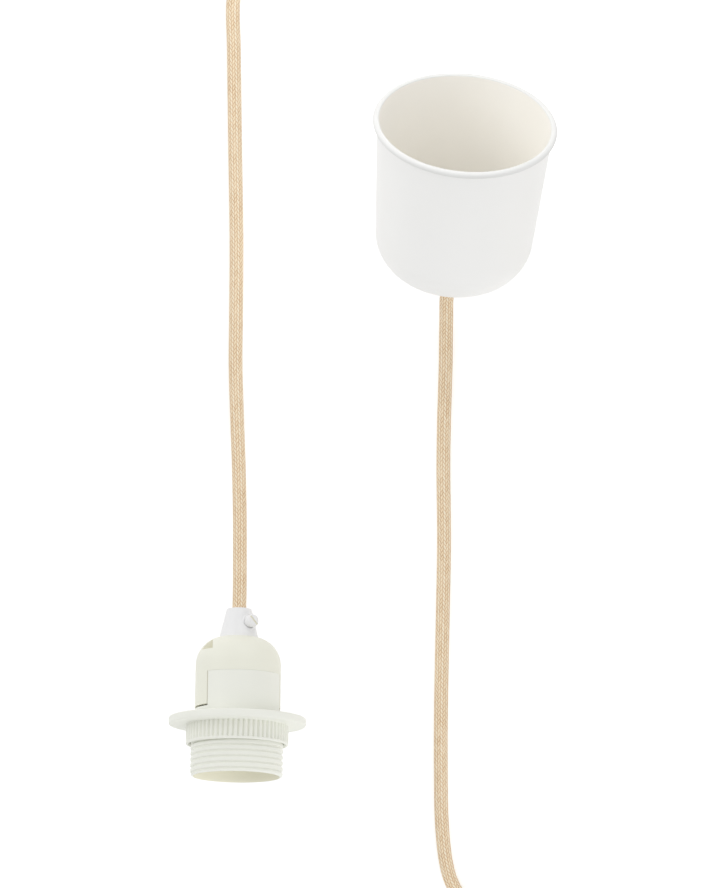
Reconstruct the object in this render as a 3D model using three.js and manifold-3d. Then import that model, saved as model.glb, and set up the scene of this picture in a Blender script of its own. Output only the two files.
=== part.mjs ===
// Pendant cord set: a bare lamp holder and a ceiling cup on one textile cord, laid out on a table.
// Millimetres, +Z up. The table is z = 0, and the holder and the cup point along Y.
import * as THREE from "three";
import { mergeVertices } from "three/addons/utils/BufferGeometryUtils.js";
import Module from "manifold-3d";

const wasm = await Module();
wasm.setup();

// Clearances
const touchGap = 0.3; // between two pieces that bear on each other
const screwGap = 0.35; // round a screw in its hole
const threadGap = 0.35; // between the shade ring's bore and the thread's crests

// Cord and conductors
const cordRadius = 2.9;
const conductorRadius = 1.05;
const conductorSpread = 1.35; // from the cord's axis to each conductor's

// Where the two ends lie on the table
const holderX = -52.7;
const holderY = -124.6;
const holderTilt = 10.9; // degrees, the mouth is raised and the grip lowered
const holderLean = 0.8; // degrees from Y, the grip to the right
const cupX = 38.04;
const cupY = 67.62;
const cupTilt = 36.5; // degrees, the cup's mouth above the table's plane
const cupLean = 5.23; // degrees from Y, the mouth to the right

// Threaded skirt, from the mouth at z = 0 up
const threadCrestRadius = 19.65;
const threadDepth = 0.75;
const threadPitch = 2.5;
const threadTurns = 9;
const threadStart = 0.9;
const bodyRadius = 18.15;
const bodyWall = 1.4;
const skirtWall = 1.15; // behind the thread
const mouthRounding = 0.2;
const mouthFlare = 0.7; // that the bore opens out by at the mouth
const mouthFlareHeight = 1.6;
const seamHeight = 43.4;
const webDrop = 12.4; // from the seam down to the web
const webThickness = 2;
const sleeveBore = 13.45;
const sleeveWall = 1.5;
const sleeveMouth = 8; // height of the lamp thread's sleeve above the skirt's mouth
const lampThreadDepth = 1.0;
const lampThreadPitch = 3.63;
const lampThreadTurns = 5;

// Holder cap
const capStraight = 4.3; // height of the wall above the seam before the dome begins
const domeHeight = 12.1;
const domeCoreRadius = 6.0; // radius at which the dome's curve would be level
const capTopRadius = 7.9;
const tongueHalfWidth = 8.5;
const tongueLength = 14.1; // below the seam
const tongueBearing = 197; // degrees round the axis of the first tongue
const slotBearing = 180; // degrees round the axis that the first release slot faces
const slotWidth = 6.2;
const slotOffset = 9.9; // of the release slot's middle, sideways from the axis
const slotInner = 10.8; // from the axis to the release slot's inner face
const slotFloor = 9.8; // height of the release slot's floor above the seam

// Cord grip and its screw
const gripHeight = 11.9;
const gripBaseRadius = 8.6;
const gripTopRadius = 5.4;
const gripRounding = 0.3;
const gripStubRadius = 5.0;
const gripStubLength = 5.4;
const gripScrewHeight = 5.9; // above the grip's base
const gripScrewBearing = -50; // degrees round the axis
const gripBossRadius = 3.1;
const gripBossReach = 6.6; // of the flat seat under the screw's head, from the axis
const gripScrewRadius = 1.55;
const gripScrewHeadRadius = 2.5;
const gripScrewHeadHeight = 3.1;
const gripSlotTurn = 47; // degrees, the driver slot's slant

// Shade ring
const flangeRadius = 29.2;
const flangeThickness = 3.3;
const flangeTop = 25.2; // above the skirt's mouth
const flangeRounding = 1.2;
const collarRadius = 21.8;
const collarLength = 8.4;
const collarBand = 1.0; // plain band at the collar's lower end
const collarChamfer = 0.6;
const ribCount = 62;
const ribDepth = 0.5;

// Contact block and contacts in the holder
const blockHeight = 5;
const blockClearance = 0.35;
const housingHeight = 5.5;
const housingInner = 3.9;
const housingOuter = 11.2;
const housingHalfWidth = 4.5;
const wireHoleOffset = 5.5;
const blockScrewOffset = 8.8;
const blockScrewRadius = 1.1;
const blockScrewHeadRadius = 1.9;
const blockScrewHeadHeight = 1.3;
const blockSlotTurn = 30; // degrees, the driver slot's slant
const contactRivetRadius = 1.1;
const centreContactRadius = 3.6;
const contactThickness = 0.8;
const sideContactOffset = 8.4;
const sideContactReach = 11.8;
const sideContactWidth = 5;
const sideContactDrop = 6;

// Ceiling cup
const cupHeight = 75.5;
const cupBaseRadius = 33.6;
const cupRimRadius = 36.9; // of the wall, below the rolled lip
const cupCornerRadius = 19.5;
const cupWall = 2;
const lipRadius = 1.35;
const lipMiddle = 37.45; // radius of the rolled lip's middle line
const lipFlat = 1.7; // width of the lip's level top, inside its middle line

// Pieces on the cord inside the cup
const bushRadius = 8;
const bushHeight = 5.7;
const sheathInCup = 24; // the cord's end above the cup's outer base
const hookBodyWidth = 16;
const hookBodyDepth = 6.8;
const hookBodyHeight = 16.4;
const hookRadius = 6.5; // of the hook's middle line
const hookThickness = 3;
const hookNeck = 2.6;
const hookGapStart = -35; // degrees, the hook's open stretch
const hookGapEnd = 45;
const clampDepth = 5.2;
const clampHeight = 8;
const clampOffset = 7.6; // of its middle above the hook body's base
const clampScrewRadius = 1.05;
const clampScrewSpread = 5.6;
const clampScrewHeadRadius = 2.3;
const clampScrewHeadHeight = 1.5;
const clampSlotTurn = 40;
const terminalWidth = 18;
const terminalDepth = 8.4;
const terminalHeight = 13;
const terminalOffset = 2; // of its base above the hook body's
const terminalSpread = 4.5; // from the middle to each pole
const insertRadius = 1.9;
const terminalScrewRadius = 1.3;
const terminalScrewLength = 2.6;
const terminalScrewSpacing = 6;

// Hank of spare cord and its tie
const hankX = 180.3;
const hankY = -6;
const hankFoldRadius = 18; // middle line of the folds
const hankHalfRun = 40;
const hankLayers = 3;
const layerPitch = 5.9;
const tieWidth = 5;
const tieThickness = 0.9;

// Sides of the round solids, finest where the object is widest
const cupSides = 44;
const holderSides = 32;
const ringSides = 40;
const gripSides = 28;
const smallSides = 16;
const holeSides = 12;
const cordSides = 8;
const conductorSides = 8;

const deg = Math.PI / 180;

// Finishes
const finish = (color, roughness, metalness = 0) =>
  new THREE.MeshStandardMaterial({ color, roughness, metalness });
const ivoryPlastic = finish(0xe9e9df, 0.45);
const whitePlastic = finish(0xf1f1f0, 0.4);
const innerPlastic = finish(0xe6e2d2, 0.5);
const textile = finish(0xdfc7a3, 0.95);
const blackRubber = finish(0x2b2b2a, 0.8);
const brass = finish(0xc6a456, 0.35, 0.9);
const steel = finish(0xb9bcc0, 0.35, 0.9);
const brownWire = finish(0x6b3f24, 0.5);
const blueWire = finish(0x2f5fa8, 0.5);
const tieTextile = finish(0xefece4, 0.9);

// A closed mesh as a solid: shared points joined, faces turned out
function toSolid(geometry) {
  const bare = geometry.index ? geometry.toNonIndexed() : geometry.clone();
  bare.deleteAttribute("normal");
  bare.deleteAttribute("uv");
  const merged = mergeVertices(bare, 1e-4);
  const place = merged.attributes.position;
  const corner = (i) => new THREE.Vector3().fromBufferAttribute(place, i);
  const faces = [];
  let volume = 0;
  for (let i = 0; i < merged.index.count; i += 3) {
    const [a, b, c] = [0, 1, 2].map((k) => merged.index.getX(i + k));
    if (a === b || b === c || c === a) continue;
    faces.push([a, b, c]);
    volume += corner(a).dot(corner(b).cross(corner(c)));
  }
  const turned = volume < 0 ? faces.map(([a, b, c]) => [a, c, b]) : faces;
  return new wasm.Manifold(
    new wasm.Mesh({
      numProp: 3,
      vertProperties: new Float32Array(place.array),
      triVerts: new Uint32Array(turned.flat()),
    }),
  );
}

// A solid back as a mesh of three.js
function piece(name, solid, material) {
  const mesh = solid.getMesh();
  const geometry = new THREE.BufferGeometry();
  const places = new Float32Array(mesh.vertProperties);
  geometry.setAttribute("position", new THREE.BufferAttribute(places, 3));
  geometry.setIndex(new THREE.BufferAttribute(new Uint32Array(mesh.triVerts), 1));
  geometry.computeVertexNormals();
  const made = new THREE.Mesh(geometry, material);
  made.name = name;
  return made;
}

// [radius, height] points of an arc in a profile, angles in degrees
function arc(radius, height, size, from, to, steps) {
  return Array.from({ length: steps + 1 }, (_, i) => {
    const angle = (from + ((to - from) * i) / steps) * deg;
    return [radius + size * Math.cos(angle), height + size * Math.sin(angle)];
  });
}

// A profile of [radius, height] points turned about Z; a profile clear of the axis closes on itself
function turned(profile, segments) {
  const points = profile.map(([r, z]) => new THREE.Vector2(Math.max(r, 0), z));
  if (profile[0][0] > 0) points.push(points[0].clone());
  return toSolid(new THREE.LatheGeometry(points, segments).rotateX(Math.PI / 2));
}

const rod = (radius, low, high, segments) =>
  turned([[0, low], [radius, low], [radius, high], [0, high]], segments);

const block = (width, depth, height, x, y, z) =>
  toSolid(new THREE.BoxGeometry(width, depth, height).translate(x, y, z));

const moved = (geometry, x, y, z) => geometry.translate([x, y, z]);

// An outline in the XY plane raised along Z
const raised = (shape, height, curveSegments = 24) =>
  toSolid(new THREE.ExtrudeGeometry(shape, { depth: height, bevelEnabled: false, curveSegments }));

// A round tube through points
function tube(points, radius, sides, steps) {
  const section = new THREE.Shape(
    Array.from({ length: sides }, (_, i) => {
      const angle = (2 * Math.PI * i) / sides;
      return new THREE.Vector2(radius * Math.cos(angle), radius * Math.sin(angle));
    }),
  );
  const path = new THREE.CatmullRomCurve3(points.map((p) => new THREE.Vector3(...p)), false, "centripetal");
  return toSolid(new THREE.ExtrudeGeometry(section, { steps, extrudePath: path, bevelEnabled: false }));
}

// A slotted screw along +Z with the underside of its head at z = 0
function slottedScrew(radius, length, headRadius, headHeight, slotTurn) {
  const head = turned(
    [
      [0, -length],
      [radius, -length],
      [radius, 0],
      [headRadius, 0],
      [headRadius, headHeight * 0.55],
      [headRadius * 0.7, headHeight],
      [0, headHeight],
    ],
    smallSides,
  );
  const slotDepth = headHeight * 0.45;
  const slot = block(headRadius * 3, headRadius * 0.3, slotDepth * 2, 0, 0, headHeight);
  return head.subtract(slot.rotate([0, 0, slotTurn]));
}

// Holder, in a frame with the skirt's mouth at z = 0, the cord along +Z and the camera's side at -Y

const threadRootRadius = threadCrestRadius - threadDepth;
const skirtBore = threadRootRadius - skirtWall;
const bodyBore = bodyRadius - bodyWall;
const webHeight = seamHeight - webDrop;
const webTop = webHeight + webThickness;
const domeStart = seamHeight + capStraight;
const capTop = domeStart + domeHeight;
const gripBase = capTop + touchGap;

// Slot in the skirt that takes a tongue, or the tongue itself, as a block through the wall
function tongueBlock(halfWidth, low, high, bearing) {
  const length = 3 * bodyWall;
  const box = block(length, 2 * halfWidth, high - low, bodyRadius - bodyWall / 2, 0, (low + high) / 2);
  return box.rotate([0, 0, bearing]);
}

const facing = (bearing) => [bearing, bearing - 180];

function threadedSkirt() {
  const crests = [];
  for (let turn = 0; turn < threadTurns; turn += 1) {
    const low = threadStart + turn * threadPitch;
    crests.push([threadRootRadius, low]);
    crests.push([threadCrestRadius, low + threadPitch * 0.3]);
    crests.push([threadCrestRadius, low + threadPitch * 0.6]);
  }
  const threadEnd = threadStart + threadTurns * threadPitch;
  const lampCrests = [];
  for (let turn = 0; turn < lampThreadTurns; turn += 1) {
    const high = webHeight - 2 - turn * lampThreadPitch;
    lampCrests.push([sleeveBore, high]);
    lampCrests.push([sleeveBore - lampThreadDepth, high - lampThreadPitch * 0.5]);
  }
  const outside = [
    [skirtBore, mouthFlareHeight],
    [skirtBore + mouthFlare, 0],
    [threadRootRadius - mouthRounding, 0],
    [threadRootRadius, mouthRounding],
    ...crests,
    [threadRootRadius, threadEnd],
    [bodyRadius, threadEnd + (threadRootRadius - bodyRadius)],
    [bodyRadius, seamHeight - touchGap],
    [bodyBore, seamHeight - touchGap],
  ];
  const inside = [
    [bodyBore, webTop],
    [sleeveBore, webTop],
    ...lampCrests,
    [sleeveBore, sleeveMouth],
    [sleeveBore + sleeveWall, sleeveMouth],
    [sleeveBore + sleeveWall, webHeight],
    [skirtBore, webHeight],
  ];
  let skirt = turned([...outside, ...inside], holderSides);
  for (const bearing of facing(tongueBearing)) {
    const low = seamHeight - tongueLength - touchGap;
    skirt = skirt.subtract(tongueBlock(tongueHalfWidth + touchGap, low, seamHeight + 1, bearing));
  }
  return skirt;
}

function holderCap() {
  const domeReach = bodyRadius - domeCoreRadius;
  const domeAngle = Math.acos((capTopRadius - domeCoreRadius) / domeReach);
  const dome = (shrink, steps) =>
    Array.from({ length: steps + 1 }, (_, i) => {
      const angle = (i / steps) * domeAngle;
      return [
        domeCoreRadius + (domeReach - shrink) * Math.cos(angle),
        domeStart + (domeHeight - shrink) * Math.sin(angle),
      ];
    });
  const hole = gripStubRadius + touchGap;
  const shell = turned(
    [
      [bodyRadius, seamHeight],
      ...dome(0, 6),
      [hole, capTop],
      [hole, capTop - bodyWall],
      ...dome(bodyWall, 4).reverse(),
      [bodyBore, seamHeight],
    ],
    holderSides,
  );
  const low = seamHeight - tongueLength;
  const wall = turned(
    [
      [bodyRadius, low],
      [bodyRadius, domeStart],
      [bodyBore + 0.2, domeStart],
      [bodyBore + 0.2, low],
    ],
    holderSides,
  );
  let cap = shell;
  for (const bearing of facing(tongueBearing)) {
    cap = cap.add(wall.intersect(tongueBlock(tongueHalfWidth, low, seamHeight + 1, bearing)));
  }
  const slotMiddle = slotInner + bodyRadius / 2;
  const slotHeight = seamHeight + slotFloor + domeHeight / 2;
  const slot = block(bodyRadius, slotWidth, domeHeight, slotMiddle, slotOffset, slotHeight);
  for (const bearing of facing(slotBearing)) cap = cap.subtract(slot.rotate([0, 0, bearing]));
  return cap;
}

// What lies along a radius of the grip at the height of its screw
const toGripScrew = (solid) =>
  moved(solid.rotate([0, 90, 0]).rotate([0, 0, gripScrewBearing]), 0, 0, gripBase + gripScrewHeight);

function cordGrip() {
  const bore = cordRadius + touchGap;
  const top = gripBase + gripHeight;
  const cone = turned(
    [
      [bore, gripBase - gripStubLength],
      [gripStubRadius, gripBase - gripStubLength],
      [gripStubRadius, gripBase],
      [gripBaseRadius, gripBase],
      [gripTopRadius, top - gripRounding],
      ...arc(gripTopRadius - gripRounding, top - gripRounding, gripRounding, 45, 90, 1),
      [bore, top],
    ],
    gripSides,
  );
  const boss = toGripScrew(rod(gripBossRadius, 0, gripBossReach, smallSides));
  const seat = toGripScrew(rod(gripBossRadius, gripBossReach, gripBaseRadius + 1, smallSides));
  const channel = rod(bore, gripBase - gripStubLength - 1, top + 1, gripSides);
  const screwHole = toGripScrew(rod(gripScrewRadius + screwGap, 0, gripBossReach + 1, holeSides));
  return cone.add(boss).subtract(seat).subtract(channel).subtract(screwHole);
}

function gripScrew() {
  const length = gripBossReach - cordRadius;
  const screw = slottedScrew(
    gripScrewRadius, length, gripScrewHeadRadius, gripScrewHeadHeight, gripSlotTurn,
  );
  return toGripScrew(moved(screw, 0, 0, gripBossReach + touchGap));
}

function shadeRing() {
  const bore = threadCrestRadius + threadGap;
  const flangeLow = flangeTop - flangeThickness;
  const collarLow = flangeLow - collarLength;
  const edge = flangeRadius - flangeRounding;
  const ribRoot = collarRadius - ribDepth;
  const body = turned(
    [
      [bore, collarLow],
      [collarRadius - collarChamfer, collarLow],
      [collarRadius, collarLow + collarChamfer],
      [collarRadius, collarLow + collarBand],
      [ribRoot, collarLow + collarBand],
      [ribRoot, flangeLow],
      ...arc(edge, flangeLow + flangeRounding, flangeRounding, -90, 0, 3),
      ...arc(edge, flangeTop - flangeRounding, flangeRounding, 0, 90, 3),
      [bore, flangeTop],
    ],
    ringSides,
  );
  const outline = new THREE.Shape(
    Array.from({ length: ribCount * 3 }, (_, i) => {
      const radius = i % 3 < 2 ? collarRadius : ribRoot - 0.05;
      const angle = ((Math.floor(i / 3) + [0, 0.4, 0.7][i % 3]) / ribCount) * 2 * Math.PI;
      return new THREE.Vector2(radius * Math.cos(angle), radius * Math.sin(angle));
    }),
  );
  outline.holes.push(new THREE.Path().absarc(0, 0, (bore + ribRoot) / 2, 0, 2 * Math.PI, true));
  const ribLength = collarLength - collarBand;
  const ribs = raised(outline, ribLength + 0.2, ringSides / 2);
  return body.add(moved(ribs, 0, 0, collarLow + collarBand - 0.1));
}

const blockBase = webTop + touchGap;
const blockTop = blockBase + blockHeight;
const housingTop = blockTop + housingHeight;

function contactBlock() {
  const radius = bodyBore - blockClearance;
  let made = rod(radius, blockBase, blockTop, holderSides);
  for (const side of [-1, 1]) {
    const middle = (side * (housingInner + housingOuter)) / 2;
    const width = housingOuter - housingInner;
    const height = housingHeight + 1;
    made = made.add(block(width, 2 * housingHalfWidth, height, middle, 0, housingTop - height / 2));
    const wireHole = rod(conductorRadius + touchGap, housingTop - 4, housingTop + 1, holeSides);
    const screwHole = rod(blockScrewRadius + screwGap, housingTop - 4.6, housingTop + 1, holeSides);
    made = made.subtract(moved(wireHole, side * wireHoleOffset, 0, 0));
    made = made.subtract(moved(screwHole, side * blockScrewOffset, 0, 0));
  }
  const rivetHole = rod(contactRivetRadius + touchGap, blockBase - 1, blockTop + 1, holeSides);
  return made.subtract(rivetHole).subtract(moved(rivetHole, 0, -sideContactOffset, 0));
}

function blockScrew(side) {
  const screw = slottedScrew(blockScrewRadius, 4, blockScrewHeadRadius, blockScrewHeadHeight, blockSlotTurn * side);
  return moved(screw, side * blockScrewOffset, 0, housingTop + touchGap);
}

function centreContact() {
  const top = blockBase - touchGap;
  return turned(
    [
      [0, top - 2.4 * contactThickness],
      [centreContactRadius * 0.45, top - 2 * contactThickness],
      [centreContactRadius, top - contactThickness],
      [centreContactRadius, top],
      [contactRivetRadius, top],
      [contactRivetRadius, blockTop],
      [0, blockTop],
    ],
    smallSides,
  );
}

function sideContact() {
  const top = blockBase - touchGap;
  const inner = sideContactOffset - 2;
  const foot = block(
    sideContactWidth, sideContactReach - inner, contactThickness,
    0, -(inner + sideContactReach) / 2, top - contactThickness / 2,
  );
  const leg = block(
    sideContactWidth, contactThickness, sideContactDrop,
    0, -sideContactReach + contactThickness / 2, top - sideContactDrop / 2,
  );
  const rivet = rod(contactRivetRadius, top - contactThickness / 2, blockTop, holeSides);
  return foot.add(leg).add(moved(rivet, 0, -sideContactOffset, 0));
}

const sheathEndInHolder = gripBase - gripStubLength - 2;
const cordEndInHolder = rod(cordRadius, sheathEndInHolder, gripBase + gripHeight, smallSides);

function holderConductor(side) {
  return tube(
    [
      [side * conductorSpread, 0, sheathEndInHolder - touchGap],
      [side * conductorSpread, 0, sheathEndInHolder - touchGap - 0.6],
      [side * 2.2, 0, sheathEndInHolder - 2.8],
      [side * (wireHoleOffset - 0.6), 0, housingTop + 1.8],
      [side * wireHoleOffset, 0, housingTop - 0.4],
      [side * wireHoleOffset, 0, housingTop - 3.7],
    ],
    conductorRadius, conductorSides, 8,
  );
}

const holderPieces = [
  piece("threaded_skirt", threadedSkirt(), ivoryPlastic),
  piece("shade_ring", shadeRing(), ivoryPlastic),
  piece("holder_cap", holderCap(), ivoryPlastic),
  piece("cord_grip", cordGrip(), whitePlastic),
  piece("cord_grip_screw", gripScrew(), whitePlastic),
  piece("cord_end_in_holder", cordEndInHolder, textile),
  piece("contact_block", contactBlock(), innerPlastic),
  piece("centre_contact", centreContact(), brass),
  piece("side_contact", sideContact(), brass),
  piece("holder_terminal_screw_1", blockScrew(-1), steel),
  piece("holder_terminal_screw_2", blockScrew(1), steel),
  piece("brown_wire_in_holder", holderConductor(-1), brownWire),
  piece("blue_wire_in_holder", holderConductor(1), blueWire),
];

// Cup, in a frame with its base at z = 0 and its mouth along +Z

function ceilingCup() {
  const corner = cupBaseRadius - cupCornerRadius;
  const bore = cupRimRadius - cupWall;
  const hole = cordRadius + touchGap;
  const flatStart = lipMiddle - lipFlat;
  return turned(
    [
      [hole, 0],
      ...arc(corner, cupCornerRadius, cupCornerRadius, -90, 0, 7),
      [cupRimRadius, cupHeight - 2 * lipRadius],
      ...arc(lipMiddle, cupHeight - lipRadius, lipRadius, -90, 90, 5),
      [flatStart, cupHeight],
      [bore, cupHeight - (flatStart - bore)],
      ...arc(corner, cupCornerRadius, cupCornerRadius - cupWall, 0, -90, 5),
      [hole, cupWall],
    ],
    cupSides,
  );
}

const bushBase = cupWall + touchGap;
const hookBodyBase = bushBase + bushHeight + touchGap;
const hookBodyTop = hookBodyBase + hookBodyHeight;
const clampMiddle = hookBodyBase + clampOffset;
const groove = rod(cordRadius + touchGap, hookBodyBase - 1, hookBodyTop + 1, smallSides);
const alongY = (solid) => solid.rotate([90, 0, 0]);

function cordBush() {
  const bore = cordRadius + touchGap;
  return turned(
    [
      [bore, bushBase],
      [bushRadius, bushBase],
      [bushRadius, bushBase + bushHeight * 0.5],
      [bushRadius * 0.7, bushBase + bushHeight],
      [bore, bushBase + bushHeight],
    ],
    smallSides,
  );
}

// Strain relief behind the cord, with the ceiling hook on its top
function hookBody() {
  const front = touchGap / 2;
  const middle = front + hookBodyDepth / 2;
  const centre = hookBodyTop + hookNeck + hookRadius + hookThickness / 2;
  const hook = new THREE.Shape();
  const [open, shut] = [hookGapEnd * deg, (360 + hookGapStart) * deg];
  hook.absarc(0, 0, hookRadius + hookThickness / 2, open, shut, false);
  hook.absarc(0, 0, hookRadius - hookThickness / 2, shut, open, true);
  const ring = moved(raised(hook, hookThickness, smallSides), 0, 0, -hookThickness / 2);
  const height = hookBodyBase + hookBodyHeight / 2;
  const body = block(hookBodyWidth, hookBodyDepth, hookBodyHeight, 0, middle, height);
  const neckHeight = hookNeck + 2;
  const neckMiddle = hookBodyTop + neckHeight / 2 - 1;
  const neck = block(hookThickness, hookThickness, neckHeight, 0, middle + 1, neckMiddle);
  const hanger = moved(ring.rotate([90, 0, 90]), 0, middle + 1, centre);
  let made = body.subtract(groove).add(neck).add(hanger);
  for (const side of [-1, 1]) {
    const hole = alongY(rod(clampScrewRadius + screwGap, -hookBodyDepth + 1, 2, holeSides));
    made = made.subtract(moved(hole, side * clampScrewSpread, 0, clampMiddle));
  }
  return made;
}

function clampBar() {
  const middle = -touchGap / 2 - clampDepth / 2;
  let made = block(hookBodyWidth, clampDepth, clampHeight, 0, middle, clampMiddle).subtract(groove);
  for (const side of [-1, 1]) {
    const hole = alongY(rod(clampScrewRadius + screwGap, -1, clampDepth + 2, holeSides));
    made = made.subtract(moved(hole, side * clampScrewSpread, 0, clampMiddle));
  }
  return made;
}

function clampScrew(side) {
  const head = touchGap / 2 + clampDepth + touchGap;
  const length = head + hookBodyDepth - 2;
  const screw = slottedScrew(
    clampScrewRadius, length, clampScrewHeadRadius, clampScrewHeadHeight, clampSlotTurn * side,
  );
  return moved(alongY(screw), side * clampScrewSpread, -head, clampMiddle);
}

const terminalFront = touchGap / 2 + hookBodyDepth + touchGap;
const terminalMiddle = terminalFront + terminalDepth / 2;
const terminalBase = hookBodyBase + terminalOffset;
const terminalTop = terminalBase + terminalHeight;
const terminalBack = terminalFront + terminalDepth;
const terminalScrewHeights = [-0.5, 0.5].map(
  (place) => (terminalBase + terminalTop) / 2 + place * terminalScrewSpacing,
);
const terminalScrewHead = 0.9;

// Holes for a pole's two screws, from the insert's middle out through the block's back
function terminalScrewHoles(side) {
  const holes = terminalScrewHeights.map((height) => {
    const hole = alongY(rod(terminalScrewRadius + screwGap, -terminalDepth, 0, holeSides));
    return moved(hole, side * terminalSpread, terminalMiddle, height);
  });
  return holes[0].add(holes[1]);
}

function terminalBlock() {
  let made = block(
    terminalWidth, terminalDepth, terminalHeight, 0, terminalMiddle, (terminalBase + terminalTop) / 2,
  );
  for (const side of [-1, 1]) {
    const bore = rod(insertRadius + touchGap, terminalBase - 1, terminalTop + 1, holeSides);
    made = made.subtract(moved(bore, side * terminalSpread, terminalMiddle, 0));
    made = made.subtract(terminalScrewHoles(side));
  }
  return made;
}

function terminalInsert(side) {
  const bore = conductorRadius + touchGap;
  const ring = turned(
    [
      [bore, terminalBase + 0.5],
      [insertRadius, terminalBase + 0.5],
      [insertRadius, terminalTop - 0.5],
      [bore, terminalTop - 0.5],
    ],
    holeSides,
  );
  return moved(ring, side * terminalSpread, terminalMiddle, 0).subtract(terminalScrewHoles(side));
}

function terminalScrew(side, height) {
  const tip = terminalMiddle + conductorRadius + touchGap;
  const under = tip + terminalScrewLength;
  const screw = slottedScrew(
    terminalScrewRadius, terminalScrewLength, terminalScrewRadius * 0.98, terminalScrewHead, 25 * side,
  );
  return moved(screw.rotate([-90, 0, 0]), side * terminalSpread, under, height);
}

function cupConductor(side) {
  const over = hookBodyTop + 2.2;
  return tube(
    [
      [side * conductorSpread, 0, sheathInCup + touchGap],
      [side * conductorSpread, 0, sheathInCup + touchGap + 0.6],
      [side * 2.2, 0.2, sheathInCup + 2.2],
      [side * (hookThickness / 2 + 1.9), 1.4, over],
      [side * (hookThickness / 2 + 2.3), 4.6, over + 0.9],
      [side * (terminalSpread - 0.2), terminalFront + 1.2, over],
      [side * terminalSpread, terminalMiddle - 0.2, terminalTop + 2.4],
      [side * terminalSpread, terminalMiddle, terminalTop - 0.5],
      [side * terminalSpread, terminalMiddle, terminalBase + 2],
    ],
    conductorRadius, conductorSides, 15,
  );
}

const cupPieces = [
  piece("ceiling_cup", ceilingCup(), whitePlastic),
  piece("cord_bush", cordBush(), blackRubber),
  piece("cord_end_in_cup", rod(cordRadius, 0, sheathInCup, smallSides), textile),
  piece("hook_body", hookBody(), innerPlastic),
  piece("clamp_bar", clampBar(), innerPlastic),
  piece("clamp_screw_1", clampScrew(-1), steel),
  piece("clamp_screw_2", clampScrew(1), steel),
  piece("terminal_block", terminalBlock(), innerPlastic),
  piece("terminal_insert_brown", terminalInsert(-1), brass),
  piece("terminal_insert_blue", terminalInsert(1), brass),
  piece("terminal_screw_1", terminalScrew(-1, terminalScrewHeights[0]), steel),
  piece("terminal_screw_2", terminalScrew(-1, terminalScrewHeights[1]), steel),
  piece("terminal_screw_3", terminalScrew(1, terminalScrewHeights[0]), steel),
  piece("terminal_screw_4", terminalScrew(1, terminalScrewHeights[1]), steel),
  piece("brown_wire_in_cup", cupConductor(-1), brownWire),
  piece("blue_wire_in_cup", cupConductor(1), blueWire),
];

// Places on the table: the holder stands on its flange's edge, the cup on its rounded corner

const holder = new THREE.Group();
holder.add(...holderPieces);
const flangeEdgeHeight =
  (flangeRadius - flangeRounding) * Math.cos(holderTilt * deg) +
  (flangeThickness / 2 - flangeRounding) * Math.sin(holderTilt * deg) +
  flangeRounding;
const flangeMiddle = flangeTop - flangeThickness / 2;
holder.rotation.set(-Math.PI / 2 - holderTilt * deg, 0, -holderLean * deg, "ZXY");
const holderAxis = new THREE.Vector3(0, 0, 1).applyEuler(holder.rotation);
const flangeCentre = new THREE.Vector3(holderX, holderY, flangeEdgeHeight);
holder.position.copy(flangeCentre).addScaledVector(holderAxis, -flangeMiddle);

const cup = new THREE.Group();
cup.add(...cupPieces);
cup.rotation.set(-Math.PI / 2 + cupTilt * deg, 0, -cupLean * deg, "ZXY");
const cupBaseHeight =
  cupCornerRadius * (1 - Math.sin(cupTilt * deg)) +
  (cupBaseRadius - cupCornerRadius) * Math.cos(cupTilt * deg);
cup.position.set(cupX, cupY, cupBaseHeight);
const cupAxis = new THREE.Vector3(0, 0, 1).applyEuler(cup.rotation);

// Cord from the cup to the hank and from the hank to the holder, chosen by hand

const onTable = cordRadius + 0.1;
const cupExit = cup.position.clone().addScaledVector(cupAxis, -touchGap).toArray();
const cupStub = cup.position.clone().addScaledVector(cupAxis, -6).toArray();
const gripTop = gripBase + gripHeight + touchGap;
const holderExit = holder.position.clone().addScaledVector(holderAxis, gripTop).toArray();
const holderStub = holder.position.clone().addScaledVector(holderAxis, gripTop + 10).toArray();
const hankRight = hankX + hankFoldRadius;
const hankSkin = 0.1; // of the hank's solid outside the cord
const hankReach = hankFoldRadius + cordRadius + hankSkin;
const hankMouth = hankHalfRun + Math.sqrt(hankReach ** 2 - (hankFoldRadius - cordRadius) ** 2) + touchGap;

const cupRun = [
  cupExit,
  cupStub,
  [36.5, 56.2, 11.5],
  [36.4, 47.5, 6.9],
  [36.3, 38.5, 3.9],
  [36.2, 28.0, onTable],
  [35.5, 3.5, onTable],
  [35.2, -16.0, onTable],
  [35.5, -48.0, onTable],
  [34.9, -82.0, onTable],
  [34.2, -118.0, onTable],
  [34.1, -147.0, onTable],
  [34.6, -170.0, onTable],
  [36.5, -187.0, onTable],
  [39.0, -195.2, onTable],
  [44.9, -204.4, onTable],
  [53.6, -210.2, onTable],
  [65.0, -213.0, onTable],
  [86.0, -214.5, onTable],
  [112.0, -213.0, onTable],
  [146.0, -213.5, onTable],
  [175.0, -206.0, onTable],
  [192.5, -184.0, onTable],
  [197.5, -152.0, onTable],
  [197.8, -118.0, onTable],
  [198.2, -90.0, onTable],
  [hankRight, -74.0, onTable],
  [hankRight, hankY - hankMouth, onTable + 0.4],
];

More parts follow.
